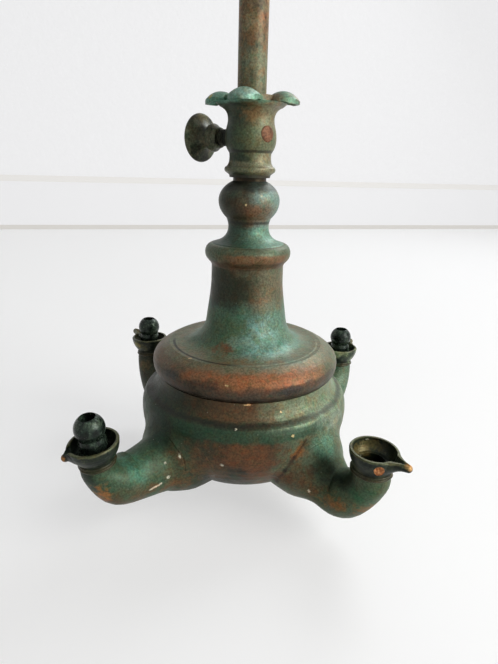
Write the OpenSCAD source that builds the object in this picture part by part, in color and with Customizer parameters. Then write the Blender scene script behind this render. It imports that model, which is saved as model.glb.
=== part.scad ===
// Four-burner oil lamp that slides on a plain rod, built from separate pieces.
// The origin is the middle of the rod's lower end, +Z runs up the rod, -Y is the front.

/* [Rod] */
// Diameter of the rod
rod_d = 10; // [8:0.5:12]
// Length of the rod from its lower end to the finial
rod_len = 236; // [215:1:320]
// Height of the bowl's floor above the rod's lower end
foot_len = 9; // [8.5:0.5:20]
// Diameter of the tenon that seats the rod in its base
tenon_d = 7.4; // [5:0.1:7.4]
// Length of the tenon
tenon_len = 8; // [5:0.5:8]

/* [Bowl] */
// Largest radius of the bowl
bowl_r = 41.3; // [39:0.1:46]
// Height of the bowl from its floor to its top edge
bowl_h = 43.4; // [41:0.1:48]
// Radius of the bowl's flat floor
floor_r = 10; // [9.5:0.5:14]
// Radius of the step where the bowl's shoulder meets its cove
step_r = 38.8; // [37.8:0.1:40]
// Radius of the bowl's top edge
seat_r = 34.6; // [33:0.1:35.4]
// Thickness of the cast walls
wall = 1.8; // [1.2:0.1:2.2]

/* [Lid] */
// Largest radius of the lid's rolled rim
rim_r = 36.5; // [35.8:0.1:38]
// Height of the rolled rim
rim_h = 11.9; // [10.5:0.1:13.5]
// Radius of the groove where the bell rises from the rim
bell_foot_r = 28; // [27:0.1:30]
// Smallest radius of the bell's neck
bell_neck_r = 13.6; // [12.5:0.1:14.4]
// Height of the bell from its foot to its top
bell_h = 37.8; // [34:0.1:44]
// Radius of the bead round the bell's top
bead_r = 16.1; // [15.4:0.1:17]

/* [Knop] */
// Radius of the knop's ball
ball_r = 11.2; // [10.4:0.1:12]
// Height of the knop
knop_h = 22.3; // [21:0.1:24]
// Radius of the knop's waist
waist_r = 7.5; // [7.2:0.1:8.2]

/* [Collar] */
// Height of the collar below its petals
collar_h = 24.4; // [23.8:0.1:26]
// Radius of the collar's swelling, where the thumb screw passes through
collar_r = 9.1; // [8.8:0.1:9.8]
// Radius of the bead round the collar's foot
collar_bead_r = 9.2; // [8.8:0.1:10]
// Reach of the petals' tips
petal_r = 16.8; // [14.5:0.1:18]
// Height of the petals above the collar
petal_h = 3.9; // [3.4:0.1:5.5]
// Number of petals
petal_count = 4; // [3:1:6]
// Direction of the first petal, turned from the front towards the right
petal_turn = -13; // [-45:1:45]

/* [Thumb screw] */
// Diameter of the screw's stem
screw_d = 5.4; // [4.6:0.1:6.6]
// Length of stem between the collar and the knob
screw_reach = 7.4; // [6:0.1:14]
// Diameter of the knob
knob_d = 17.4; // [15:0.1:20]
// Direction of the screw, turned from the front towards the right
screw_turn = -127; // [-170:1:-100]
// Diameter of the plug that closes the old screw hole
plug_d = 5.4; // [4:0.1:6.6]
// Direction of the plug, turned from the front towards the right
plug_turn = 40; // [20:1:100]

/* [Arms] */
// Reach of each burner from the rod: front left, front right, back right, back left
arm_reach = [68.1, 62, 67.2, 68.1]; // [60:0.1:74]
// Height of each burner above the mean burner height
arm_lift = [0.5, -2.4, 0.4, 3]; // [-3:0.1:3]
// Outward lean of each burner
arm_lean = [8, 3, 0, 1]; // [0:0.5:12]
// Rise of each elbow above the lowest
elbow_rise = [6.6, 0, 2, 3]; // [0:0.1:7]
// Mean height of the burners' mouths above the bowl's floor
burner_h = 35; // [33:0.1:40]
// Radius of an arm where it leaves the bowl
root_r = 16; // [15:0.1:17]
// Radius of an arm at its elbow
elbow_r = 9.9; // [9:0.1:10.6]
// Radius of each arm's end
arm_end_r = [5.7, 6.6, 5.8, 5.8]; // [5.7:0.1:7]

/* [Burners] */
// Outer radius of a cup's mouth
cup_r = 8.4; // [8:0.1:9.6]
// Height of a cup above its arm
cup_h = 8; // [7.4:0.1:9.5]
// Radius of the socket that holds a wick nozzle
socket_r = 4.2; // [4:0.1:4.4]
// Length of a cup's stem inside its arm
stem_len = 5; // [3:0.1:6]
// Reach of each cup's lip from the middle of the cup
lip_reach = [10.6, 13.8, 13.2, 13.8]; // [10.5:0.1:16]
// Turn of each lip away from its arm, towards the right
lip_turn = [-18, 0, 8, 0]; // [-40:1:40]
// Downward slope of each lip
lip_droop = [15, -3, -8, -8]; // [-10:1:24]
// Radius of a nozzle's ball
nozzle_r = 5; // [4.8:0.1:5.6]
// Diameter of the hole for the wick
wick_d = 5.4; // [4.6:0.1:6.2]

/* [Handle] */
// Radius of the handle ring's centre line
ring_r = 15; // [12:0.5:22]
// Diameter of the ring's wire
ring_wire = 4.4; // [3.4:0.1:5.4]

/* [Fits] */
// Radial clearance of the rod in the guide tube and the collar's bush
rod_fit = 0.07; // [0.03:0.01:0.1]
// Radial clearance of the guide tube's neck in the collar
neck_fit = 0.07; // [0.03:0.01:0.1]
// Radial clearance of the thumb screw's stem
screw_fit = 0.06; // [0.03:0.01:0.1]
// Radial clearance of a nozzle in its socket
nozzle_fit = 0.08; // [0.03:0.01:0.1]
// Gap left for solder between fixed round pieces
solder = 0.02; // [0.01:0.01:0.05]

/* [Hidden] */

$fn = 96;
rod_r = rod_d / 2;
screw_r = screw_d / 2;
wick_r = wick_d / 2;
knob_r = knob_d / 2;
plug_r = plug_d / 2;
wire_r = ring_wire / 2;

// Heights of the stacked pieces
bowl_top = foot_len + bowl_h;
rim_top = bowl_top + rim_h;
bell_top = rim_top + bell_h;
knop_top = bell_top + knop_h;
collar_z = knop_top + 1.2;
collar_top = collar_z + collar_h;
screw_z = collar_z + 13.5;
plug_z = collar_z + 14.4;
burner_z = foot_len + burner_h;

// The guide tube, whose flanged neck hangs in the collar
tube_bore_r = rod_r + rod_fit;
tube_r = tube_bore_r + 0.95;
neck_ledge = collar_z + 9;
neck_gap = 0.25;
neck_flange_r = tube_r + 0.85;
neck_flange_h = 1.4;
bush_r = neck_flange_r + 0.1;
bush_z = neck_ledge + neck_flange_h + 2 * neck_gap;
bush_top = collar_top - 0.6;

// The directions of the arms, turned from the front towards the right
burner_turn = [-45, 45, 135, -135];
stem_r = socket_r + 0.8;

// Points on a cubic curve from a to d that is pulled towards b and c, all but the last
function curve(a, b, c, d, n = 8) = [
    for (i = [0 : n - 1]) let (t = i / n, s = 1 - t)
        s * s * s * a + 3 * s * s * t * b + 3 * s * t * t * c + t * t * t * d
];

// Points on an ellipse round c, from angle a0 to angle a1
function arc(c, rx, ry, a0, a1, n = 8) = [
    for (i = [0 : n]) let (a = a0 + (a1 - a0) * i / n) c + [rx * cos(a), ry * sin(a)]
];

// Turns a piece modelled towards the front into another direction
module facing(turn) { rotate([0, 0, turn]) children(); }

// Places a piece modelled with its mouth at the origin on one of the burners
module at_burner(i) {
    facing(burner_turn[i]) translate([0, -arm_reach[i], burner_z + arm_lift[i]])
        rotate([arm_lean[i], 0, 0]) children();
}

// ---- Rod and handle ----

spigot_r = rod_r * 0.6;
spigot_len = 7;
finial_top = rod_len + 15.5;
ring_z = finial_top + ring_r + wire_r - 1.2;

module rod() {
    tenon_r = tenon_d / 2;
    color("#6b604b") rotate_extrude() polygon([
        [0, 0], [tenon_r, 0], [tenon_r, tenon_len], [rod_r, tenon_len], [rod_r, rod_len],
        [spigot_r, rod_len], [spigot_r, rod_len + spigot_len], [0, rod_len + spigot_len]
    ]);
}

module finial() {
    z = rod_len;
    foot_r = rod_r + 1.6;
    color("#5f5a45") difference() {
        rotate_extrude() polygon(concat(
            [[0, z], [foot_r, z]],
            arc([foot_r, z + 1.3], 0.8, 1.3, -90, 90, 6),
            curve([foot_r - 0.6, z + 2.8], [rod_r - 1, z + 3.4], [rod_r - 1.2, z + 5],
                  [rod_r - 0.4, z + 6]),
            arc([0, z + 9.4], rod_r + 1.4, 4.4, -38, 52),
            [[wire_r + 0.6, z + 13.4], [wire_r + 0.6, finial_top], [0, finial_top]]
        ));
        translate([0, 0, z - 1]) cylinder(r = spigot_r + solder, h = spigot_len + 1 + solder);
        ring_shape(solder);
    }
}

module ring_shape(grow = 0) {
    translate([0, 0, ring_z]) rotate([90, 0, 0])
        rotate_extrude() translate([ring_r, 0]) circle(r = wire_r + grow, $fn = 48);
}

module handle_ring() { color("#6b604b") ring_shape(); }

// ---- Collar ----

rim_lip_r = 12.4;

module collar() {
    z = collar_z;
    color("#566350") difference() {
        union() {
            rotate_extrude() polygon(concat(
                [[rod_r + 0.5, z], [7.3, z], [7.5, z + 0.9]],
                arc([collar_bead_r - 1, z + 2.7], 1, 1.1, -70, 80, 6),
                curve([8, z + 4.3], [7.3, z + 5.2], [7.3, z + 7.8], [7.7, z + 9.1], 5),
                curve([8.2, z + 9.3], [collar_r + 0.2, z + 11.2], [collar_r + 0.3, z + 14],
                      [8.5, z + 17], 7),
                curve([8.5, z + 17], [7.6, z + 20], [8.2, collar_top - 1.4],
                      [rim_lip_r, collar_top - 0.7], 9),
                [[rim_lip_r, collar_top], [rod_r + 0.5, collar_top]]
            ));
            crown();
        }
        translate([0, 0, z - 1]) cylinder(r = tube_r + neck_fit, h = collar_h);
        translate([0, 0, neck_ledge]) cylinder(r = bush_r, h = collar_h + petal_h);
        screw_hole();
        facing(plug_turn) translate([0, 0, plug_z]) rotate([90, 0, 0])
            cylinder(r = plug_r, h = collar_r + 5);
    }
}

// The ring of petals, on a low ring that joins their roots
module crown() {
    translate([0, 0, collar_top - 0.5]) cylinder(r = bush_r + 2.4, h = petal_h - 1.2);
    for (i = [0 : petal_count - 1]) facing(petal_turn + i * 360 / petal_count) petal();
}

// A pointed leaf towards the front, arched from its root to its tip and from side to side
module petal() {
    half = 0.36 * petal_r;
    middle = 0.58 * petal_r;
    arch = 1.75 * petal_h;
    leaf = 1.3;
    droop = 0.75 * petal_h;
    sides = [for (k = [-6 : 6]) k / 6];
    intersection() {
        translate([0, -0.65 * petal_r, collar_top + petal_h - arch]) rotate([0, 90, 0])
            rotate_extrude() polygon(concat(
                [for (t = sides) [arch - droop * t * t, half * t]],
                [for (t = -sides) [arch - leaf - droop * t * t, half * t]]
            ));
        translate([0, 0, collar_top - 0.3]) linear_extrude(petal_h + 2)
            petal_outline(0.94 * half, middle);
    }
}

// A lens that points to the front: half as wide, with its middle out from the rod
module petal_outline(half, middle) {
    long = petal_r - middle;
    bow = (long * long + half * half) / (2 * half);
    intersection() {
        translate([bow - half, -middle]) circle(r = bow);
        translate([half - bow, -middle]) circle(r = bow);
    }
}

// The hole drilled through the collar and its bush for the thumb screw
module screw_hole() {
    facing(screw_turn) translate([0, 0, screw_z]) rotate([90, 0, 0])
        cylinder(r = screw_r, h = collar_r + 5);
}

module collar_bush() {
    color("#8a7446") difference() {
        translate([0, 0, bush_z]) cylinder(r = bush_r - solder, h = bush_top - bush_z);
        translate([0, 0, bush_z - 1]) cylinder(r = tube_bore_r, h = bush_top - bush_z + 2);
        screw_hole();
    }
}

module collar_plug() {
    color("#a8603c") facing(plug_turn) translate([0, 0, plug_z]) rotate([90, 0, 0])
        rotate_extrude() polygon(concat(
            [[0, bush_r], [plug_r - solder, bush_r]],
            arc([0, collar_r - 0.4], plug_r - solder, 0.6, 0, 90, 6)
        ));
}

// ---- Thumb screw ----

hub_y = collar_r + screw_reach;

// Turns a profile of radius and distance from the rod about the screw's axis
module on_screw(points) {
    facing(screw_turn) translate([0, 0, screw_z]) rotate([90, 0, 0])
        rotate_extrude() polygon(points);
}

module thumb_screw_stem() {
    tip_y = rod_r + 0.05;
    thread_r = screw_r - screw_fit;
    color("#3f4238") on_screw([
        [0, tip_y], [thread_r - 0.8, tip_y], [thread_r, tip_y + 0.8],
        [thread_r, hub_y + 4.5], [0, hub_y + 4.5]
    ]);
}

module thumb_screw_knob() {
    y = hub_y;
    bore = screw_r;
    color("#454a3e") on_screw(concat(
        [[0, y + 4.6], [bore, y + 4.6], [bore, y], [bore + 0.7, y]],
        arc([bore + 0.4, y + 0.8], 0.7, 0.8, -60, 90, 5),
        curve([bore + 0.5, y + 2], [bore + 0.7, y + 4.4], [knob_r * 0.6, y + 5.6],
              [knob_r - 0.7, y + 6.2]),
        arc([knob_r - 0.9, y + 7.1], 0.9, 0.9, -80, 80, 6),
        curve([knob_r - 1, y + 8.1], [knob_r * 0.7, y + 9], [knob_r * 0.3, y + 9.5], [0, y + 9.5], 6),
        [[0, y + 9.5]]
    ));
}

// ---- Guide tube, knop and lid ----

module guide_tube() {
    flange_r = tube_r + 3;
    inner_floor = foot_len + wall;
    flange_z = neck_ledge + neck_gap;
    color("#7d6a43") rotate_extrude() polygon([
        [tube_bore_r, foot_len], [tube_r, foot_len], [tube_r, inner_floor],
        [flange_r, inner_floor], [flange_r, inner_floor + 1.2], [tube_r, inner_floor + 1.2],
        [tube_r, flange_z], [neck_flange_r, flange_z],
        [neck_flange_r, flange_z + neck_flange_h], [tube_bore_r, flange_z + neck_flange_h]
    ]);
}

ledge_r = bead_r - 2.7;

module knop() {
    z = bell_top;
    crease = z + knop_h * 0.44;
    ball_z = z + knop_h * 0.69;
    low = -38;
    color("#4d5548") rotate_extrude() polygon(concat(
        [[tube_r + solder, z], [ledge_r, z]],
        curve([ledge_r - 0.5, z + 0.3], [waist_r + 2.6, z + 1], [waist_r, z + 2.6],
              [waist_r, z + 6.2]),
        curve([waist_r, z + 6.2], [waist_r, z + 7.6], [waist_r + 0.6, crease - 1],
              [ball_r * cos(low) - 0.4, crease], 5),
        arc([0, ball_z], ball_r, (ball_z - crease) / sin(-low), low, 0, 6),
        arc([0, ball_z], ball_r, (knop_top - ball_z) / sin(57), 4, 57, 9),
        [[tube_r + solder, knop_top]]
    ));
}

rim_mid = bowl_top + rim_h * 0.4;
register_h = 4;
register_r = seat_r - wall - 0.1;

module bell_lid() {
    z = rim_top;
    neck_in = bell_neck_r - wall;
    register_in = register_r - wall;
    color("#4f6a5c") rotate_extrude() polygon(concat(
        [[register_in, bowl_top - register_h], [register_r, bowl_top - register_h],
         [register_r, bowl_top], [seat_r - 0.8, bowl_top]],
        curve([seat_r - 0.4, bowl_top + 0.2], [rim_r - 0.4, bowl_top + 0.8], [rim_r, rim_mid - 2.4],
              [rim_r, rim_mid], 6),
        curve([rim_r, rim_mid], [rim_r, rim_mid + 3.8], [bell_foot_r + 4, z - 1.8],
              [bell_foot_r + 0.5, z]),
        curve([bell_foot_r, z - 0.6], [bell_foot_r * 0.775, z - 0.8], [bell_neck_r + 3.2, z + 1.6],
              [bell_neck_r + 2, z + 8.4], 14),
        curve([bell_neck_r + 2, z + 8.4], [bell_neck_r + 1.2, z + 14.6], [bell_neck_r + 0.2, z + 19.4],
              [bell_neck_r, z + 25.4]),
        [[bell_neck_r, bell_top - 8]],
        curve([bell_neck_r + 0.3, bell_top - 7.2], [bell_neck_r + 1.2, bell_top - 6],
              [bead_r, bell_top - 5.4], [bead_r, bell_top - 3.2], 6),
        arc([ledge_r, bell_top - 3.2], bead_r - ledge_r, 3.2, 0, 90, 6),
        [[tube_r + solder, bell_top], [tube_r + solder, bell_top - 3],
         [neck_in - 1, bell_top - 3], [neck_in, bell_top - 5], [neck_in, z + 24]],
        curve([neck_in, z + 24], [neck_in + 0.2, z + 16], [neck_in + 1.6, z + 12],
              [neck_in + 2.4, z + 7], 6),
        curve([neck_in + 2.4, z + 7], [neck_in + 4.4, z - wall], [bell_foot_r * 0.8, z - 2 * wall],
              [bell_foot_r - 1, z - 2 * wall], 8),
        curve([bell_foot_r - 1, z - 2 * wall], [register_in, z - 2 * wall],
              [register_in, rim_mid + 2], [register_in, rim_mid], 6)
    ));
}

// ---- Bowl ----

belly_z = foot_len + 28.5;
step_z = bowl_top - 6.9;
root_z = foot_len + 15.8;
port_r = 0.45 * root_r;

module bowl_outline(inner = 0) {
    z = foot_len + inner;
    top = seat_r - inner;
    step = step_r - inner;
    belly = bowl_r - inner;
    polygon(concat(
        [[0, z]],
        curve([floor_r, z], [floor_r + 15, z + 0.4], [belly, belly_z - 15], [belly, belly_z], 14),
        curve([belly, belly_z], [belly, belly_z + 4.4], [step + 1.6, step_z - 1.6], [step, step_z], 6),
        curve([step - 0.7, step_z], [step - 3, step_z + 1], [top + 0.2, step_z + 3.4],
              [top, bowl_top], 6),
        [[top, bowl_top], [0, bowl_top]]
    ));
}

module bowl_solid() { rotate_extrude() bowl_outline(); }

module bowl() {
    color("#5c4a38") difference() {
        bowl_solid();
        intersection() {
            rotate_extrude() bowl_outline(wall);
            translate([0, 0, foot_len + wall]) cylinder(r = bowl_r, h = bowl_h);
        }
        translate([0, 0, bowl_top - 1]) cylinder(r = seat_r - wall, h = 2);
        translate([0, 0, foot_len - 1]) cylinder(r = tube_r + solder, h = wall + 2);
        for (turn = burner_turn) facing(turn) translate([0, 0, root_z]) rotate([90, 0, 0])
            cylinder(r = port_r, h = bowl_r + 5);
    }
}

// ---- Arms ----

arm_sides = 28;
arm_steps = 3;

// Distance from the rod, height, outer radius and upward tilt along an arm, from inside the
// bowl to its end. The root flares like a trumpet where it leaves the bowl.
function arm_stations(i) = let (
    lean = arm_lean[i],
    reach = arm_reach[i],
    end = [reach, burner_z + arm_lift[i]] - cup_h * [sin(lean), cos(lean)],
    low = foot_len + 1.14 * elbow_r + elbow_rise[i],
    climb = end.y - low,
    neck = end - 0.3 * climb * [tan(lean), 1],
    drop = root_z - low + 2
) [
    [0.54 * bowl_r, root_z + 0.1 * root_r, 0.94 * root_r, 0],
    [0.83 * bowl_r, root_z + 0.2 * root_r - 0.2 * drop, root_r, 0],
    [bowl_r, root_z + 0.15 * root_r - 0.35 * drop, 0.82 * root_r, 0],
    [1.08 * bowl_r, root_z + 0.06 * root_r - 0.6 * drop, 1.06 * elbow_r, 0],
    [max(reach - 1.4 * elbow_r, 1.2 * bowl_r), low - 0.16 * elbow_r, 0.89 * elbow_r, 3],
    [reach - 0.85 * elbow_r, low, 0.89 * elbow_r, 30],
    [neck.x - 0.32 * elbow_r, low + 0.33 * climb, 0.75 * elbow_r, 58],
    [neck.x, neck.y, 1.05 * arm_end_r[i], 86 - lean],
    [end.x, end.y, arm_end_r[i], 90 - lean]
];

// Smooth path through the stations
function through(s, steps) = concat(
    [for (k = [0 : len(s) - 2], j = [0 : steps - 1]) let (
        t = j / steps,
        a = s[max(k - 1, 0)], b = s[k], c = s[k + 1], d = s[min(k + 2, len(s) - 1)]
    ) ((2 * b) + (c - a) * t + (2 * a - 5 * b + 4 * c - d) * t * t
       + (3 * b - a - 3 * c + d) * t * t * t) / 2],
    [s[len(s) - 1]]
);

// Rings of points round the path, set in from its radius by first at its start and last at its end
function rings(p, first, last) = [
    for (k = [0 : len(p) - 1]) let (
        q = p[k],
        r = q.z - first - (last - first) * k / (len(p) - 1)
    ) for (a = [0 : arm_sides - 1]) let (turn = 360 * a / arm_sides, up = r * cos(turn))
        [r * sin(turn), up * sin(q[3]) - q.x, q.y + up * cos(q[3])]
];

module arm(i) {
    path = through(arm_stations(i), arm_steps);
    n = len(path);
    s = arm_sides;
    points = concat(rings(path, 0, 0), rings(path, wall, arm_end_r[i] - stem_r - solder));
    outer = [for (k = [0 : n - 2], a = [0 : s - 1]) let (b = (a + 1) % s, u = k * s, v = u + s)
        each [[u + a, u + b, v + b], [u + a, v + b, v + a]]];
    inner = [for (k = [0 : n - 2], a = [0 : s - 1]) let (b = (a + 1) % s, u = (n + k) * s, v = u + s)
        each [[u + a, v + b, u + b], [u + a, v + a, v + b]]];
    ends = [for (a = [0 : s - 1]) let (b = (a + 1) % s, u = (n - 1) * s, v = (2 * n - 1) * s, w = n * s)
        each [[u + a, u + b, v + b], [u + a, v + b, v + a], [a, w + b, b], [a, w + a, w + b]]];
    color("#46584a") difference() {
        facing(burner_turn[i]) polyhedron(points, concat(outer, inner, ends), convexity = 6);
        bowl_solid();
        at_burner(i) translate([0, 0, -cup_h - stem_len - 1])
            cylinder(r = stem_r + 2 * solder, h = stem_len + 2);
    }
}

module arm_front_left() { arm(0); }
module arm_front_right() { arm(1); }
module arm_back_right() { arm(2); }
module arm_back_left() { arm(3); }

// ---- Burner cups ----

dish_z = -4.4;
dish_r = socket_r + 1.4;

module cup(i) {
    foot_r = arm_end_r[i];
    color("#2f3a34") at_burner(i) difference() {
        union() {
            rotate_extrude() polygon(concat(
                [[0, -cup_h - stem_len], [stem_r, -cup_h - stem_len], [stem_r, -cup_h],
                 [foot_r, -cup_h]],
                arc([foot_r - 0.2, -cup_h + 0.7], 0.5, 0.6, -60, 80, 5),
                curve([foot_r - 0.1, -cup_h + 1.6], [cup_r - 1.9, -cup_h + 2.4],
                      [cup_r - 0.4, -3.8], [cup_r, -0.8], 7),
                [[cup_r, -0.4], [cup_r - 0.3, 0], [0, 0]]
            ));
            beak(i);
        }
        rotate_extrude() polygon(concat(
            [[0, dish_z], [dish_r, dish_z]],
            curve([dish_r, dish_z], [dish_r + 1.1, dish_z + 0.8], [cup_r - 1.2, -1.8],
                  [cup_r - 0.8, 0.01], 6),
            [[cup_r - 0.8, 4], [0, 4]]
        ));
        translate([0, 0, -cup_h - stem_len - 1]) cylinder(r = socket_r, h = cup_h + stem_len + 1);
        on_lip(i) translate([0, lip_depth + 0.2, 0])
            horn(0.4 * cup_r, 0.07 * cup_r, lip_reach[i] - lip_start - 0.17 * cup_r);
        if (i == 1) plug_shape(1.7, cup_r - 2.2, cup_r + 0.3);
    }
}

lip_start = 0.48 * cup_r;
lip_depth = 0.155 * cup_r;

// Places a lip's horn inside the cup, pointing out and lying below the mouth
module on_lip(i) {
    rotate([0, 0, lip_turn[i]]) translate([0, -lip_start, -lip_depth]) rotate([90 + lip_droop[i], 0, 0])
        children();
}

// A round horn along Z that tapers from root to tip and ends in a ball
module horn(root, tip, long) {
    rotate_extrude() polygon(concat(
        [[0, -1], [root, -1]],
        curve([root, 0], [root - 0.6, 4], [tip + 0.5, 4], [tip, long], 7),
        arc([0, long], tip, tip, 0, 90, 5)
    ));
}

// The lip's outside: a horn cut flat on top, level with the mouth at its root
module beak(i) {
    root = 0.64 * cup_r;
    tip = 0.16 * cup_r;
    long = lip_reach[i] - lip_start - tip;
    on_lip(i) intersection() {
        horn(root, tip, long);
        translate([-root, -cup_h, -2]) cube([2 * root, cup_h + lip_depth, long + tip + 3]);
    }
}

// The copper plug in the side of the front right cup, between two radii of the cup
module plug_shape(r, from, to) {
    rotate([0, 0, -45]) translate([0, 0, -2.9]) rotate([90, 0, 0]) translate([0, 0, from])
        cylinder(r = r, h = to - from, $fn = 48);
}

module cup_front_left() { cup(0); }
module cup_front_right() { cup(1); }
module cup_back_right() { cup(2); }
module cup_back_left() { cup(3); }

module cup_plug() { color("#a8603c") at_burner(1) plug_shape(1.7 - solder, cup_r - 1.9, cup_r - 0.3); }

// ---- Wick nozzles ----

module nozzle(i) {
    barrel_r = socket_r - nozzle_fit;
    seat_z = dish_z + 0.05;
    ball_z = nozzle_r + 0.1;
    color("#262d29") at_burner(i) difference() {
        union() {
            rotate_extrude() polygon([
                [0, -cup_h - stem_len], [barrel_r - 0.3, -cup_h - stem_len],
                [barrel_r, -cup_h - stem_len + 0.3], [barrel_r, seat_z], [dish_r - 0.3, seat_z],
                [dish_r - 0.1, seat_z + 0.6], [dish_r - 0.3, seat_z + 1.2],
                [nozzle_r - 0.3, seat_z + 2.2], [nozzle_r - 0.5, 0.4], [nozzle_r - 0.9, 1.9], [0, 2]
            ]);
            translate([0, 0, ball_z]) sphere(r = nozzle_r);
        }
        translate([0, 0, -cup_h - stem_len - 1]) cylinder(r = wick_r, h = cup_h + stem_len + 15);
    }
}

module nozzle_front_left() { nozzle(0); }
module nozzle_back_right() { nozzle(2); }
module nozzle_back_left() { nozzle(3); }

rod();
finial();
handle_ring();
collar();
collar_bush();
collar_plug();
thumb_screw_stem();
thumb_screw_knob();
guide_tube();
knop();
bell_lid();
bowl();
arm_front_left();
arm_front_right();
arm_back_right();
arm_back_left();
cup_front_left();
cup_front_right();
cup_back_right();
cup_back_left();
nozzle_front_left();
nozzle_back_right();
nozzle_back_left();
cup_plug();
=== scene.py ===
import math

import bmesh
import bpy
from mathutils import Matrix, Vector, noise
from mathutils.bvhtree import BVHTree


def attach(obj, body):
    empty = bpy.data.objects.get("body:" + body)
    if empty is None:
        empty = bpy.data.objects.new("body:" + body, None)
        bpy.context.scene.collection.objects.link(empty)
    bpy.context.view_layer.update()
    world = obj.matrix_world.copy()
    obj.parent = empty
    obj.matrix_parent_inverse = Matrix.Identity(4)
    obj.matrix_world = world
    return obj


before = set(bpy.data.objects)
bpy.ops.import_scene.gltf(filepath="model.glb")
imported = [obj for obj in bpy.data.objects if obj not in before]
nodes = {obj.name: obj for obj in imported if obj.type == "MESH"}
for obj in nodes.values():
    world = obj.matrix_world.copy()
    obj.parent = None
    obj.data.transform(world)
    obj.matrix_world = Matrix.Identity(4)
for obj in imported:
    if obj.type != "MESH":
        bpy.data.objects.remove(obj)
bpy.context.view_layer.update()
MM = 0.001
UP = Vector((0, 0, 1))
bpy.context.scene.view_settings.view_transform = "Standard"


# ---- Camera ----

FOCAL_PX = 500.0
FRAME_H_PX = 664.0
CAMERA_AT = Vector((0.0, -189.0, 130.0)) * MM
PITCH = math.radians(18.5)
YAW = math.radians(0.40)
ROLL = math.radians(1.62)


def make_camera():
    """The photograph's view: 18.5 degrees down, close up with a wide lens."""
    data = bpy.data.cameras.new("camera")
    data.sensor_fit = "VERTICAL"
    data.sensor_height = 36.0
    data.lens = FOCAL_PX / FRAME_H_PX * data.sensor_height
    data.clip_start = 0.005
    data.clip_end = 20.0
    level = Vector((math.sin(YAW), math.cos(YAW), 0))
    side = Vector((math.cos(YAW), -math.sin(YAW), 0))
    ahead = math.cos(PITCH) * level - math.sin(PITCH) * UP
    over = math.sin(PITCH) * level + math.cos(PITCH) * UP
    right = math.cos(ROLL) * side + math.sin(ROLL) * over
    top = math.cos(ROLL) * over - math.sin(ROLL) * side
    camera = bpy.data.objects.new("camera", data)
    camera.matrix_world = Matrix((
        (right.x, top.x, -ahead.x, CAMERA_AT.x),
        (right.y, top.y, -ahead.y, CAMERA_AT.y),
        (right.z, top.z, -ahead.z, CAMERA_AT.z),
        (0, 0, 0, 1)))
    bpy.context.collection.objects.link(camera)
    bpy.context.scene.camera = camera


make_camera()


# ---- Where the burners are, in the order of their names: angles in degrees, the rest in millimetres ----

NAMES = ["front_left", "front_right", "back_right", "back_left"]
TURN = [-45, 45, 135, -135]
REACH = [68.1, 62.0, 67.2, 68.1]
MOUTH_Z = [44.5, 41.6, 44.4, 47.0]
LEAN = [8, 3, 0, 1]
LIP_TURN = [-18, 0, 8, 0]
CUP_H = 8.0
STEM_R = [5.7, 6.6, 5.8, 5.8]


def outward(turn):
    """Straight out from the rod, turned from the front to the right."""
    t = math.radians(turn)
    return Vector((math.sin(t), -math.cos(t), 0))


def on_arm(k, out, z, aside=0.0):
    """A place on an arm: how far out from the rod, how high and how far to the arm's right."""
    way = outward(TURN[k])
    across = Vector((-way.y, way.x, 0))
    return way * out + across * aside + UP * z


def burner_up(k):
    """A burner's own axis, which leans outwards."""
    lean = math.radians(LEAN[k])
    return math.sin(lean) * outward(TURN[k]) + math.cos(lean) * UP


def mouth(k, height=0.0):
    """The middle of a cup's mouth, or a place above it along the burner."""
    return on_arm(k, REACH[k], MOUTH_Z[k]) + burner_up(k) * height


def lip_tip(k, reach, drop=1.0):
    """Where a cup's lip ends, reach out from the middle of its mouth."""
    return mouth(k) + outward(TURN[k] + LIP_TURN[k]) * reach - UP * drop


# ---- Material tools ----

RICHER = 1.3
OXIDE_GLOSS = 0.22
METAL_SHARE = 0.7


def tone(r, g, b):
    """A colour from 0-255 screen values, as linear RGBA."""
    def line(v):
        v /= 255
        return v / 12.92 if v <= 0.04045 else ((v + 0.055) / 1.055) ** 2.4
    return (line(r), line(g), line(b), 1.0)


def vivid(*colour):
    """A patina colour, pushed away from grey and darker in its low values."""
    grey = sum(colour) / 3
    light = 0.79 + grey / 950
    return tone(*(min(255, max(6, (grey + RICHER * (v - grey)) * light)) for v in colour))


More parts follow.
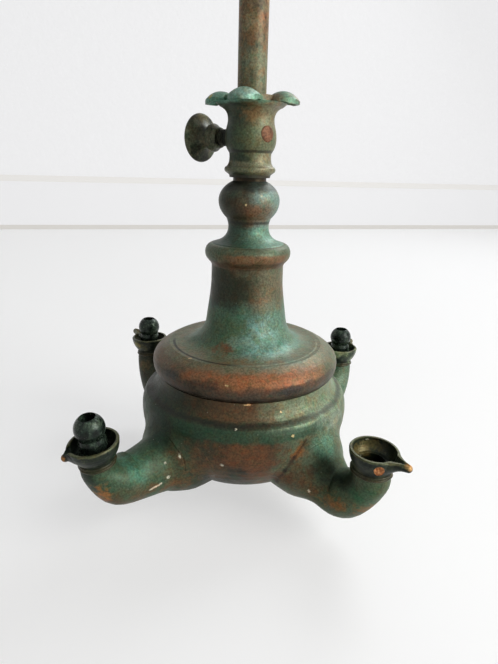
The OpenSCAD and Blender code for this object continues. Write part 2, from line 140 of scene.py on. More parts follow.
class Paint:
    """A node material built up in layers over the part's own coordinates."""

    def __init__(self, name):
        self.material = bpy.data.materials.new(name)
        self.material.use_nodes = True
        self.tree = self.material.node_tree
        self.shader = self.tree.nodes["Principled BSDF"]
        coords = self.tree.nodes.new("ShaderNodeTexCoord")
        self.place = coords.outputs["Object"]
        axes = self.tree.nodes.new("ShaderNodeSeparateXYZ")
        self.join(self.place, axes.inputs[0])
        self.x, self.y, self.z = axes.outputs
        self.made = {}

    def join(self, source, target):
        self.tree.links.new(source, target)

    def put(self, socket, value):
        if isinstance(value, bpy.types.NodeSocket):
            self.join(value, socket)
        else:
            socket.default_value = value

    def math(self, op, a, b=0.0):
        n = self.tree.nodes.new("ShaderNodeMath")
        n.operation = op
        self.put(n.inputs[0], a)
        self.put(n.inputs[1], b)
        return n.outputs[0]

    def vector(self, op, a, b=(0, 0, 0)):
        n = self.tree.nodes.new("ShaderNodeVectorMath")
        n.operation = op
        self.put(n.inputs[0], a)
        self.put(n.inputs[1], b)
        return n.outputs["Value" if op in ("LENGTH", "DOT_PRODUCT") else "Vector"]

    def span(self, value, low, high, to_low=0.0, to_high=1.0):
        n = self.tree.nodes.new("ShaderNodeMapRange")
        n.interpolation_type = "SMOOTHSTEP"
        for k, v in enumerate((value, low, high, to_low, to_high)):
            self.put(n.inputs[k], v)
        return n.outputs[0]

    def noise(self, size_mm, detail=5.0, rough=0.62, warp=0.0, shift=0.0, stretch=(1, 1, 1)):
        key = (size_mm, detail, rough, warp, shift, stretch)
        if key not in self.made:
            m = self.tree.nodes.new("ShaderNodeMapping")
            m.inputs["Location"].default_value = (shift, shift * 1.7, -shift)
            m.inputs["Scale"].default_value = stretch
            self.join(self.place, m.inputs[0])
            n = self.tree.nodes.new("ShaderNodeTexNoise")
            self.join(m.outputs[0], n.inputs["Vector"])
            n.inputs["Scale"].default_value = 1 / (size_mm * MM)
            n.inputs["Detail"].default_value = detail
            n.inputs["Roughness"].default_value = rough
            n.inputs["Distortion"].default_value = warp
            self.made[key] = n.outputs["Fac"]
        return self.made[key]

    def wobble(self, size_mm, amount):
        """Noise about zero that makes the edges of masks ragged."""
        return self.math("MULTIPLY", self.math("SUBTRACT", self.noise(size_mm), 0.5), 4 * amount)

    def cells(self, size_mm):
        key = ("cells", size_mm)
        if key not in self.made:
            n = self.tree.nodes.new("ShaderNodeTexVoronoi")
            self.join(self.place, n.inputs["Vector"])
            n.inputs["Scale"].default_value = 1 / (size_mm * MM)
            self.made[key] = n.outputs["Distance"]
        return self.made[key]

    def from_rod(self):
        """The distance from the rod's axis."""
        squares = [self.math("MULTIPLY", v, v) for v in (self.x, self.y)]
        return self.math("SQRT", self.math("ADD", *squares))

    def inside(self, value, low_mm, high_mm, soft_mm):
        """1 where a length is between two others."""
        low, high, soft = low_mm * MM, high_mm * MM, soft_mm * MM
        return self.math("MULTIPLY", self.span(value, low - soft, low + soft),
                         self.span(value, high - soft, high + soft, 1.0, 0.0))

    def ramp(self, value, stops):
        n = self.tree.nodes.new("ShaderNodeValToRGB")
        band = n.color_ramp
        while len(band.elements) < len(stops):
            band.elements.new(0.5)
        for e, (at, colour) in zip(band.elements, stops):
            e.position = at
            e.color = colour
        self.join(value, n.inputs[0])
        return n.outputs[0]

    def mix(self, amount, a, b, mode="MIX"):
        n = self.tree.nodes.new("ShaderNodeMix")
        n.data_type = "RGBA"
        n.blend_type = mode
        self.put(n.inputs["Factor"], amount)
        self.put(n.inputs[6], a)
        self.put(n.inputs[7], b)
        return n.outputs[2]

    def tinted(self, amount, colour, by):
        """The colour, multiplied by another where amount is 1."""
        return self.mix(amount, colour, self.mix(1.0, colour, (*by, 1.0), "MULTIPLY"))

    def bump(self, height, strength, depth_mm, below=None):
        n = self.tree.nodes.new("ShaderNodeBump")
        n.inputs["Strength"].default_value = strength
        n.inputs["Distance"].default_value = depth_mm * MM
        self.join(height, n.inputs["Height"])
        if below is not None:
            self.join(below, n.inputs["Normal"])
        return n.outputs[0]


# ---- Masks: each is a function that a Paint turns into a value from 0 to 1 ----

def spot(at_mm, radii_mm, ragged=0.35, soft=0.6):
    """1 round a place, fading to 0 at the radii."""
    radii = radii_mm if isinstance(radii_mm, tuple) else (radii_mm,) * 3
    # The ragged edge is finer on a smaller spot
    grain = 0.8 if min(radii) < 1.5 else 2.5 if min(radii) < 5 else 6

    def make(p):
        away = p.vector("SUBTRACT", p.place, [v * MM for v in at_mm])
        far = p.vector("LENGTH", p.vector("DIVIDE", away, [v * MM for v in radii]))
        return p.span(p.math("ADD", far, p.wobble(grain, ragged)), 1 - soft, 1.0, 1.0, 0.0)
    return make


def stroke(a_mm, b_mm, width_mm, ragged=0.2):
    """1 along a straight line from one place to another."""
    a = Vector(a_mm) * MM
    way = Vector(b_mm) * MM - a

    def make(p):
        here = p.vector("SUBTRACT", p.place, a)
        run = p.vector("DOT_PRODUCT", here, way / way.length_squared)
        run = p.math("MINIMUM", p.math("MAXIMUM", run, 0.0), 1.0)
        spread = p.tree.nodes.new("ShaderNodeCombineXYZ")
        for socket in spread.inputs:
            p.join(run, socket)
        near = p.vector("MULTIPLY", spread.outputs[0], way)
        far = p.vector("LENGTH", p.vector("SUBTRACT", here, near))
        far = p.math("ADD", far, p.wobble(0.8, ragged * width_mm * MM))
        return p.span(far, 0.2 * width_mm * MM, width_mm * MM, 1.0, 0.0)
    return make


def band(low_mm, high_mm, soft_mm=2.0, ragged_mm=2.0):
    """1 between two heights."""
    def make(p):
        z = p.math("ADD", p.z, p.wobble(6, ragged_mm * MM))
        return p.inside(z, low_mm, high_mm, soft_mm)
    return make


def toward(turn, inner=0.2, outer=0.9):
    """Rises towards a direction about the rod, turned from the front to the right."""
    way = outward(turn)

    def make(p):
        out = p.math("ADD", p.math("MULTIPLY", p.x, way.x), p.math("MULTIPLY", p.y, way.y))
        share = p.math("DIVIDE", out, p.math("ADD", p.from_rod(), 1e-6))
        return p.span(p.math("ADD", share, p.wobble(6, 0.16)), inner, outer)
    return make


def round_line(radius_mm, width_mm, above_mm=0.0):
    """1 on a circle about the rod, above a height."""
    def make(p):
        off = p.math("ABSOLUTE", p.math("SUBTRACT", p.from_rod(), radius_mm * MM))
        line = p.span(off, 0.3 * width_mm * MM, width_mm * MM, 1.0, 0.0)
        return p.math("MULTIPLY", line, p.span(p.z, (above_mm - 0.2) * MM, above_mm * MM))
    return make


def level(at_mm, axis, low_mm, high_mm, soft_mm=0.3, ragged_mm=0.2):
    """1 between two heights along an axis from a place."""
    def make(p):
        away = p.vector("SUBTRACT", p.place, [v * MM for v in at_mm])
        along = p.vector("DOT_PRODUCT", away, axis)
        return p.inside(p.math("ADD", along, p.wobble(2.5, ragged_mm * MM)), low_mm, high_mm, soft_mm)
    return make


def blotches(size_mm, low=0.5, high=0.62):
    """Ragged patches of noise."""
    return lambda p: p.span(p.noise(size_mm, 6, 0.7, 0.4), low, high)


def both(*masks):
    """Where all the masks are 1."""
    def make(p):
        value = masks[0](p)
        for mask in masks[1:]:
            value = p.math("MULTIPLY", value, mask(p))
        return value
    return make


def patina(name, tones, layers=(), metal=(0.15, 0.5), rough=(0.38, 0.58), blotch_mm=18, mottle=0.6,
           specks=0.35, pits=1.0, lathe=0.0, shift=0.0):
    """Old bronze under its oxides.

    tones go from the dark hollows to the pale bloom; layers are (mask, colour, strength);
    metal and rough give their lowest and highest values; lathe is the depth of turning marks.
    """
    p = Paint(name)
    p.shader.inputs["Specular IOR Level"].default_value = OXIDE_GLOSS
    blotch = p.noise(blotch_mm, 5, 0.6, 0.6, shift)
    cloud = p.noise(4, 6, 0.68, 0.4, shift + 3)
    fine = p.noise(0.7, 3, 0.6, 0, shift + 5)
    mixed = p.math("ADD", p.math("MULTIPLY", blotch, 0.6), p.math("MULTIPLY", cloud, 0.4))
    count = len(tones) - 1
    colour = p.ramp(p.span(mixed, 0.36, 0.64), [(k / count, vivid(*t)) for k, t in enumerate(tones)])
    for mask, shade, strength in layers:
        colour = p.mix(p.math("MULTIPLY", mask(p), strength), colour, vivid(*shade))
    # Brown and green flow into each other at a few millimetres, and grain lies over both
    brown = p.math("MULTIPLY", p.span(p.noise(3.4, 7, 0.78, 0.5, shift + 11), 0.46, 0.62), mottle)
    green = p.math("MULTIPLY", p.span(p.noise(2.7, 7, 0.78, 0.5, shift + 13), 0.48, 0.64), mottle)
    bloom = p.math("MULTIPLY", p.span(p.noise(1.6, 6, 0.8, 0.5, shift + 15), 0.54, 0.66), mottle)
    colour = p.tinted(brown, colour, (1.3, 0.84, 0.6))
    colour = p.tinted(green, colour, (0.5, 0.86, 0.72))
    colour = p.tinted(bloom, colour, (1.25, 1.5, 1.4))
    grain = p.span(fine, 0.32, 0.68, 0.68, 1.3)
    tint = p.tree.nodes.new("ShaderNodeCombineColor")
    for socket in tint.inputs:
        p.join(grain, socket)
    colour = p.mix(1.0, colour, tint.outputs[0], "MULTIPLY")
    strewn = p.span(p.noise(8, 3, 0.5, 0, shift + 9), 0.52, 0.64)
    dots = p.math("MULTIPLY", p.span(p.cells(2.6), 0.04, 0.1, 1.0, 0.0), strewn)
    colour = p.mix(p.math("MULTIPLY", dots, specks), colour, tone(168, 174, 158))
    p.join(colour, p.shader.inputs["Base Color"])
    dull, shiny = (METAL_SHARE * v for v in metal)
    p.join(p.span(mixed, 0.4, 0.62, shiny, dull), p.shader.inputs["Metallic"])
    sheen = p.math("ADD", p.math("MULTIPLY", cloud, 0.6), p.math("MULTIPLY", fine, 0.4))
    p.join(p.span(sheen, 0.35, 0.65, rough[0], rough[1]), p.shader.inputs["Roughness"])
    normal = p.bump(p.noise(7, 3, 0.5, 0, shift + 7), 0.5, 0.4 * pits)
    normal = p.bump(cloud, 0.4, 0.2 * pits, normal)
    normal = p.bump(fine, 0.5, 0.08 * pits, normal)
    normal = p.bump(p.span(p.cells(1.3), 0.06, 0.2), 0.35, 0.05 * pits, normal)
    if lathe:
        normal = p.bump(p.noise(0.9, 3, 0.6, 0, shift, (0.02, 0.02, 1)), 0.5, lathe, normal)
    p.join(normal, p.shader.inputs["Normal"])
    return p.material


def beyond(k, low_mm, high_mm):
    """Rises along an arm between two distances from the rod."""
    way = outward(TURN[k])
    return lambda p: p.span(p.vector("DOT_PRODUCT", p.place, way), low_mm * MM, high_mm * MM)


# Colours for painted shade: near-black for shade in hollows, and a dark tone for shade lines in grooves
# and steps
PAINTED_SHADE = (20, 20, 18)
SHADE_LINE = (34, 34, 30)
PALE = (206, 202, 186)
CREAM = (222, 196, 156)


def chips_and_glints(colour, *places):
    """Small marks with ragged edges, each a place and its radii: worn spots, and one painted highlight on
    the rim.
    """
    return [(both(spot(at, radii, 0.7, 0.7), blotches(0.5, 0.4, 0.5)), colour, 0.95)
            for at, radii in places]


paints = {}
paints["rod"] = patina(
    "rod bronze", [(66, 58, 48), (108, 96, 78), (136, 124, 100), (118, 122, 104)],
    [(band(150, 168, 5, 4), (106, 118, 100), 0.5),
     (blotches(7, 0.5, 0.6), (126, 96, 70), 0.5)],
    metal=(0.15, 0.45), rough=(0.38, 0.55), blotch_mm=8, mottle=0.7, lathe=0.03)
paints["finial"] = patina(
    "finial bronze", [(48, 45, 38), (86, 80, 62), (112, 104, 82), (104, 114, 96)],
    metal=(0.3, 0.7), rough=(0.3, 0.48), blotch_mm=9, lathe=0.04, shift=1.0)
paints["handle_ring"] = patina(
    "ring bronze", [(54, 48, 40), (96, 82, 62), (124, 108, 84), (106, 112, 94)],
    metal=(0.35, 0.75), rough=(0.28, 0.44), blotch_mm=8, shift=1.7)
paints["collar"] = patina(
    "collar bronze", [(64, 62, 48), (98, 92, 70), (118, 112, 86), (118, 126, 104)],
    [
        # Painted shade on the left side and painted light on the right side
        (toward(-65, 0.1, 0.8), (42, 58, 48), 0.8),
        (toward(75, 0.3, 0.9), (136, 136, 116), 0.5),
        (both(band(134, 142, 1, 2), toward(20, 0.2, 0.9)), (92, 104, 80), 0.5),
        (spot((1.2, -9, 146), (7, 6, 3.4), 0.6, 1.0), (122, 96, 66), 0.75),
        # A painted highlight round the bead
        (band(127.3, 131, 0.5, 0.4), (128, 128, 108), 0.5),
        (band(149.6, 158, 0.6, 0.7), (112, 148, 132), 0.85),
        (spot((-3, -15, 152), (5, 5, 3)), (152, 178, 168), 0.8),
        (spot((6.7, -6.5, 151.5), (5, 5, 3)), (116, 94, 72), 0.8),
        (spot((13, -2, 151.5), (6, 6, 3)), (116, 98, 76), 0.8),
        (stroke((-15.6, -3.0, 152.0), (-13.4, 0.6, 151.8), 1.1), (196, 180, 96), 0.8),
        # Painted shade: a dark line along the step, and a dark band at the foot where the collar sits over
        # the knop
        (band(133.9, 134.8, 0.3, 0.15), SHADE_LINE, 0.7),
        (band(122, 126.6, 0.4, 0.3), (44, 40, 34), 0.85),
    ],
    metal=(0.2, 0.55), rough=(0.34, 0.52), blotch_mm=9, mottle=0.55, shift=2.0)
paints["collar_bush"] = patina(
    "bush brass", [(72, 60, 36), (120, 100, 58), (150, 128, 78)],
    metal=(0.8, 0.95), rough=(0.25, 0.4), blotch_mm=8, specks=0.1, shift=2.6)
paints["collar_plug"] = patina(
    "plug copper", [(96, 70, 54), (124, 92, 72), (144, 110, 88)],
    # Painted shade at the plug's lower left edge
    [(spot((3.4, -8.5, 138.4), (2.2, 2.2, 1.8), 0.3, 0.8), (64, 46, 36), 0.8)],
    metal=(0.2, 0.4), rough=(0.46, 0.58), blotch_mm=4, mottle=0.3, specks=0.1, shift=3.1)
paints["cup_plug"] = patina(
    "cup plug copper", [(92, 58, 40), (146, 98, 66), (196, 152, 112)],
    metal=(0.4, 0.7), rough=(0.36, 0.5), blotch_mm=2.5, mottle=0.3, specks=0.1, shift=3.6)
paints["thumb_screw_knob"] = patina(
    "knob bronze", [(38, 40, 34), (66, 68, 56), (96, 98, 82), (120, 122, 102)],
    [(spot((-19.5, 14.6, 146), (5, 5, 3)), (104, 98, 64), 0.6),
     (spot((-17.6, 13, 139.1), 5.5), (30, 33, 28), 0.75)],
    metal=(0.25, 0.6), rough=(0.34, 0.52), blotch_mm=7, shift=4.0)
paints["thumb_screw_stem"] = patina(
    "screw bronze", [(22, 24, 20), (46, 47, 38), (70, 70, 56)],
    metal=(0.4, 0.8), rough=(0.3, 0.5), blotch_mm=3, specks=0.1, shift=4.4)
paints["guide_tube"] = patina(
    "tube brass", [(52, 44, 30), (96, 80, 50), (126, 106, 66)],
    # Painted shade where the tube shows in the gap between the knop and the collar
    [(band(118, 134, 1, 1), (30, 28, 24), 0.85)],
    metal=(0.6, 0.9), rough=(0.3, 0.44), blotch_mm=9, specks=0.2, shift=4.9)
paints["knop"] = patina(
    "knop bronze", [(52, 48, 40), (82, 78, 64), (98, 98, 82), (116, 124, 106)],
    [
        # Teal-grey patina on the right, painted lighter there, with a painted highlight at the front right
        (toward(70, 0.1, 0.8), (126, 146, 140), 0.75),
        (spot((7, -8, 118), (6, 6, 3.6), 0.5, 0.9), (132, 158, 150), 0.8),
        (band(101, 108.8, 1.4, 1.2), (110, 140, 124), 0.8),
        (both(band(110, 118, 2, 2), toward(0, 0.3, 0.9)), (108, 86, 64), 0.75),
        (spot((0, -11, 114.5), (6, 5, 3.4)), (120, 88, 64), 0.6),
        # Painted shade: a dark line at the waist, the left side darker, and a dark band where the collar
        # sits over the ball
        (band(109.6, 110.6, 0.35, 0.2), SHADE_LINE, 0.7),
        (toward(-68, 0.15, 0.85), (40, 50, 42), 0.75),
        (band(121.2, 126, 0.8, 0.6), (36, 36, 30), 0.75),
        *chips_and_glints(CREAM, ((-1, -11.3, 116.7), 0.6), ((-2.4, -9.2, 111), 0.5)),
        *chips_and_glints((190, 186, 160), ((4.4, -10, 119.8), 0.7), ((-2.2, -8.6, 108), 0.5)),
    ],
    metal=(0.15, 0.45), rough=(0.38, 0.54), blotch_mm=8, mottle=0.6, lathe=0.03, shift=5.5)
paints["bell_lid"] = patina(
    "lid bronze", [(62, 58, 48), (92, 94, 78), (108, 122, 104), (124, 142, 126)],
    [
        # The bell's neck is a dull brown, with painted shade on its left and painted light on its right,
        # and its bead is green with a copper lip
        (band(78, 96, 5, 4), (84, 74, 58), 0.8),
        (both(band(72, 95, 4, 4), toward(-50, -0.1, 0.8)), (42, 48, 36), 0.85),
        (spot((5.7, -13.1, 81.6), (6, 7, 9), 0.6, 1.0), (112, 80, 58), 0.65),
        (both(band(78, 95, 4, 4), toward(60, 0.4, 0.9)), (120, 116, 96), 0.5),
        (band(94.3, 96.6, 0.7, 0.6), (98, 74, 56), 0.6),
        (band(97, 104, 0.8, 0.8), (96, 106, 88), 0.7),
        (both(band(96.6, 99.6, 0.6, 0.7), toward(15, 0.4, 1.0)), (124, 92, 68), 0.75),
        # The flare is teal patina, with painted light on its front right and painted shade on its left,
        # and brown patches over its edge
        (band(62, 80, 4, 3), (102, 132, 118), 0.7),
        (spot((12, -24, 67), (20, 16, 11), 0.5, 0.9), (132, 164, 158), 0.9),
        (both(band(62, 78, 3, 3), toward(-62, 0.2, 0.8)), (88, 108, 84), 0.75),
        (spot((5, -15, 72), (7, 7, 7), 0.6, 1.0), (136, 166, 162), 0.75),
        (spot((-3.8, -17.5, 68), (6, 4, 3)), (130, 154, 142), 0.6),
        (spot((-9.2, -18.5, 66), (7, 5, 3.4), 0.8, 1.0), (116, 82, 60), 0.9),
        (spot((1, -26.5, 64.2), (14, 4, 2.4), 0.9, 1.0), (124, 88, 62), 0.9),
        (spot((-20, -22, 64.2), (8, 5, 2), 0.8, 1.0), (108, 88, 64), 0.7),
        (spot((20, -20, 65.5), (5, 5, 2)), (112, 96, 74), 0.5),
        # The rolled rim is copper brown in the middle, with painted shade underneath and darker spots
        # along its lower edge
        (band(48, 63.6, 0.8, 1.0), (112, 94, 76), 0.85),
        (both(band(54, 63.6, 1.2, 1.5), toward(95, 0.4, 1.0)), (106, 118, 100), 0.65),
        (both(band(57, 62.4, 1.2, 1.2), toward(8, 0.6, 0.96)), (148, 106, 78), 0.85),
        (both(band(48, 58.6, 0.8, 1.2), toward(0, -0.2, 0.6)), (66, 62, 56), 0.7),
        (band(48, 54.6, 1.2, 1.2), (50, 44, 40), 0.75),
        (spot((-11.6, -34.2, 58.9), (6, 4, 2.4)), (70, 60, 52), 0.7),
        (spot((-25.8, -24.9, 58.6), (6, 6, 2.4)), (66, 68, 66), 0.75),
        (spot((15.4, -33, 56.9), (8, 5, 2.2)), (60, 62, 62), 0.75),
        (spot((-29, -20.3, 60.8), (6, 6, 2)), (122, 108, 92), 0.6),
        (band(62.2, 64.6, 0.5, 0.6), (122, 120, 100), 0.55),
        # Painted shade along the crease on the left, and a painted highlight along it on the right
        (both(round_line(28.2, 0.75, 62.8), toward(-40, 0.66, 0.84)), PAINTED_SHADE, 0.9),
        (both(round_line(28.2, 0.5, 62.8), toward(40, 0.5, 0.8)), (166, 176, 160), 0.5),
        *chips_and_glints(CREAM, ((-6, -35.4, 59.4), (0.9, 0.7, 0.4)), ((-19.7, -22.3, 63.8), (1.1, 0.8, 0.4))),
        # The larger pale mark here, at the rim's front right, is a painted highlight
        *chips_and_glints((196, 192, 176), ((19.3, -30, 61.2), (1.6, 1.2, 0.4)), ((9, -33.6, 62.4), (0.8, 0.6, 0.4))),
    ],
    metal=(0.15, 0.5), rough=(0.36, 0.54), blotch_mm=14, mottle=0.65, lathe=0.02, shift=6.0)

# The bowl and its arms are brazed into one, so one bronze runs over them all
body_bronze = patina(
    "body bronze", [(52, 46, 36), (80, 70, 54), (88, 90, 70), (102, 116, 92)],
    [
        # Painted light on the right side and painted shade on the left, then each arm's own cast of
        # colour, darkest on the back left arm and lightest on the back right
        (both(band(14, 47, 5, 4), toward(82, 0.3, 0.9)), (116, 130, 112), 0.7),
        (both(band(12, 54, 5, 4), toward(-60, 0.1, 0.8)), (38, 46, 36), 0.85),
        (beyond(0, 32, 46), (80, 100, 80), 0.75),
        (beyond(1, 36, 48), (74, 88, 66), 0.75),
        (beyond(2, 36, 46), (108, 128, 110), 0.7),
        (beyond(3, 36, 46), (58, 62, 50), 0.75),
        # The bowl
        (spot((-1, -40, 34), (32, 40, 13), 0.6, 1.0), (110, 80, 58), 0.9),
        (spot((9, -38, 26), (18, 40, 10), 0.6, 1.0), (104, 76, 56), 0.75),
        (spot((-10, -38, 26), (10, 30, 8), 0.7, 1.0), (90, 78, 56), 0.7),
        # Painted light on the bowl's shoulder at the front right
        (spot((32, -24, 44), (12, 12, 7)), (150, 158, 142), 0.8),
        (both(band(40.5, 44.8, 0.8, 0.8), toward(-5, 0.3, 0.8)), (56, 80, 64), 0.8),
        # Painted shade under the rim on the left
        (spot((-30, -27, 41), (12, 12, 8)), (42, 48, 40), 0.7),
        (both(band(46.2, 53, 0.6, 0.6), toward(20, 0.4, 0.9)), (104, 82, 62), 0.7),
        # Painted light on the right of the shoulder band, and a painted shade line in its groove
        (both(band(44, 53, 0.6, 0.6), toward(62, 0.5, 0.95)), (132, 146, 124), 0.75),
        (band(44.9, 46.0, 0.5, 0.3), (40, 38, 34), 0.7),
        # The front left arm
        (spot((-30, -33, 36.5), (9, 9, 6), 0.5, 0.9), (30, 54, 40), 0.85),
        (spot((-37, -44, 33), (8, 8, 5), 0.6, 1.0), (80, 122, 104), 0.85),
        (spot((-34, -45, 30), (6, 6, 5), 0.6, 1.0), (92, 130, 112), 0.7),
        (spot((-23.5, -38.8, 24), (10, 12, 9), 0.8, 1.0), (108, 82, 56), 0.85),
        (spot((-38, -49, 21), (12, 12, 8), 0.6, 1.0), (98, 78, 54), 0.85),
        (spot((-50, -50, 34), (6, 7, 9)), (34, 40, 34), 0.8),
        (spot((-46.4, -52.0, 26), (4.2, 4.2, 6.5), 0.8, 1.0), (164, 118, 72), 0.9),
        (stroke((-31.2, -43.7, 23.4), (-28.0, -41.2, 24.3), 0.62, 0.45), PALE, 0.95),
        *chips_and_glints(PALE, ((-25.6, -39.8, 26.0), 0.8), ((-26.8, -38.8, 31.0), 0.6),
               ((-21.8, -37.4, 33.0), (0.6, 0.9, 1.3))),
        # The front right arm
        (spot((29.6, -31, 35.6), (9, 9, 7), 0.5, 0.9), (108, 146, 126), 0.85),
        (spot((19.5, -36.4, 36), (5, 6, 5.5), 0.9, 1.0), (142, 100, 62), 0.9),
        (spot((22, -38.5, 23), (9, 10, 9), 0.7, 1.0), (98, 74, 52), 0.85),
        (spot((31, -39, 28), (11, 8, 6), 0.4, 0.9), (22, 34, 28), 0.9),
        (spot((37, -44, 30), (8, 7, 7), 0.4, 0.9), (20, 32, 26), 0.85),
        (spot((31.7, -44.1, 19.7), (8, 8, 4), 0.9, 1.0), (128, 98, 62), 0.85),
        (spot((41.9, -47.5, 20), (7, 7, 4), 0.9, 1.0), (134, 102, 66), 0.85),
        (spot((40, -49.1, 25.6), 7, 0.6, 1.0), (58, 96, 70), 0.8),
        (stroke((12.7, -33.3, 20.5), (15.2, -36.7, 27.9), 1.3), (40, 32, 28), 0.75),
        (stroke((15.2, -36.7, 27.9), (18.1, -36.5, 33.2), 1.3), (40, 32, 28), 0.75),
        (stroke((18.1, -36.5, 33.2), (22.1, -34.7, 39.0), 1.1), (44, 36, 30), 0.65),
        # The back arms
        (spot(on_arm(2, 67, 33), (8, 8, 5)), (90, 104, 84), 0.5),
        (spot(on_arm(3, 66, 33, 4), (5, 5, 4)), (124, 110, 84), 0.7),
        # Worn spots on the bowl
        *chips_and_glints(PALE, ((23.9, -38.8, 20.9), 0.8), ((-7.0, -39.7, 31.3), 0.8), ((-2.4, -39.0, 44.9), 0.6)),
        *chips_and_glints(CREAM, ((0.8, -34.6, 52.0), (2.2, 1.0, 0.4)), ((13, -32.8, 48.7), 0.6),
               ((17.2, -37, 41.8), 0.7)),
    ],
    metal=(0.15, 0.45), rough=(0.38, 0.58), blotch_mm=15, mottle=0.7, shift=7.0)
paints["bowl"] = body_bronze
for name in NAMES:
    paints["arm_" + name] = body_bronze


def cup_bronze(k, tones, layers, shift):
    """A burner's cup: nearly black, with a paler band along its mouth."""
    up = burner_up(k)
    edge = (level(mouth(k), up, -0.4, 3.0, 0.3, 0.5), (122, 124, 96), 0.5)
    foot = (level(mouth(k), up, -9.5, -6.8, 0.5, 0.6), (86, 78, 54), 0.4)
    return patina(NAMES[k].replace("_", " ") + " cup bronze", tones, [edge, foot] + layers,
                  metal=(0.15, 0.45), rough=(0.28, 0.48), blotch_mm=6, mottle=0.5, shift=shift)


dish = mouth(1)
paints["cup_front_left"] = cup_bronze(
    0, [(16, 22, 18), (28, 38, 30), (44, 52, 40), (76, 80, 62)],
    [(spot(lip_tip(0, 10.4, 4.2), (2.4, 2.4, 2.6), 0.5, 0.8), (188, 142, 94), 0.85),
     # Painted shade inside the cup's mouth
     (spot(mouth(0), (6.8, 6.8, 6)), PAINTED_SHADE, 0.5)], 10.3)
paints["cup_front_right"] = cup_bronze(
    1, [(18, 22, 18), (34, 42, 34), (46, 54, 42), (72, 74, 56)],
    [(spot((41.2, -39, 38.3), (5, 4.6, 2.8), 0.5, 0.5), (112, 104, 70), 0.8),
     (spot((44.6, -37.6, 39.3), (4, 3, 2.4), 0.5, 0.5), (104, 98, 66), 0.7),
     # Painted shade: a dark disc for the hole at the bottom of the dish
     (spot((dish.x, dish.y, 35.4), (4.4, 4.4, 2.4), 0.2, 0.3), PAINTED_SHADE, 0.9),
     (spot(lip_tip(1, 13.0, 0.2), (2.4, 2.4, 2.0)), (206, 168, 122), 0.85),
     *chips_and_glints(PALE, ((dish.x - 0.8, dish.y + 7.6, 41.0), (0.6, 0.8, 0.5)),
            ((dish.x - 7.0, dish.y - 1.2, 40.9), (0.8, 0.6, 0.5)))], 10.9)
paints["cup_back_right"] = cup_bronze(
    2, [(24, 29, 25), (48, 57, 48), (74, 86, 70), (128, 140, 110)],
    [(spot(on_arm(2, 60, 43.4, -2), (5, 5, 3)), (170, 182, 150), 0.6),
     (spot(lip_tip(2, 11, 0.6), (3, 3, 2)), (124, 108, 74), 0.6)], 11.4)
paints["cup_back_left"] = cup_bronze(
    3, [(22, 25, 20), (42, 47, 38), (60, 63, 49), (100, 100, 74)],
    [(spot((-53, 42, 44.6), (3.4, 3.4, 2.4)), (150, 142, 92), 0.7),
     (spot(lip_tip(3, 12, 0.6), (3, 3, 2)), (126, 112, 78), 0.6)], 11.9)
for k in (0, 2, 3):
    paints["nozzle_" + NAMES[k]] = patina(
        NAMES[k].replace("_", " ") + " nozzle bronze",
        [(16, 19, 17), (32, 39, 35), (46, 57, 50), (80, 92, 80)],
        [(spot(mouth(k, 10.4), (3.4, 3.4, 1.4), 0.2, 0.4), (12, 12, 11), 0.8),
         (blotches(3, 0.56, 0.64), (98, 112, 98), 0.5)],
        metal=(0.3, 0.6), rough=(0.16, 0.34), blotch_mm=6, mottle=0.3, specks=0.2, pits=0.5,
        shift=12 + k)

for name, o in nodes.items():
    o.data.materials.clear()
    o.data.materials.append(paints[name])


# ---- Shading of the arms ----

SHARP_DEG = 38


def even_shading(o):
    """Shades an arm smoothly over its facets, and keeps its real edges."""
    for p in o.data.polygons:
        p.use_smooth = True
    if "custom_normal" in o.data.attributes:
        o.data.attributes.remove(o.data.attributes["custom_normal"])
    tree = bpy.data.node_groups.new("even_" + o.name, "GeometryNodeTree")
    tree.interface.new_socket("Geometry", in_out="INPUT", socket_type="NodeSocketGeometry")
    tree.interface.new_socket("Geometry", in_out="OUTPUT", socket_type="NodeSocketGeometry")
    start = tree.nodes.new("NodeGroupInput")
    weld = tree.nodes.new("GeometryNodeMergeByDistance")
    weld.inputs["Distance"].default_value = 0.004 * MM
    angle = tree.nodes.new("GeometryNodeInputMeshEdgeAngle")
    sharp = tree.nodes.new("FunctionNodeCompare")
    sharp.data_type = "FLOAT"
    sharp.operation = "GREATER_THAN"
    sharp.inputs[1].default_value = math.radians(SHARP_DEG)
    smooth = tree.nodes.new("GeometryNodeSetShadeSmooth")
    smooth.domain = "FACE"
    edges = tree.nodes.new("GeometryNodeSetShadeSmooth")
    edges.domain = "EDGE"
    edges.inputs["Shade Smooth"].default_value = False
    end = tree.nodes.new("NodeGroupOutput")
    links = tree.links
    links.new(start.outputs[0], weld.inputs["Geometry"])
    links.new(weld.outputs[0], smooth.inputs["Geometry"])
    links.new(smooth.outputs[0], edges.inputs["Geometry"])
    links.new(angle.outputs["Unsigned Angle"], sharp.inputs[0])
    links.new(sharp.outputs[0], edges.inputs["Selection"])
    links.new(edges.outputs[0], end.inputs[0])
    o.modifiers.new("even", "NODES").node_group = tree


for name in NAMES:
    even_shading(nodes["arm_" + name])


# ---- Added pieces ----

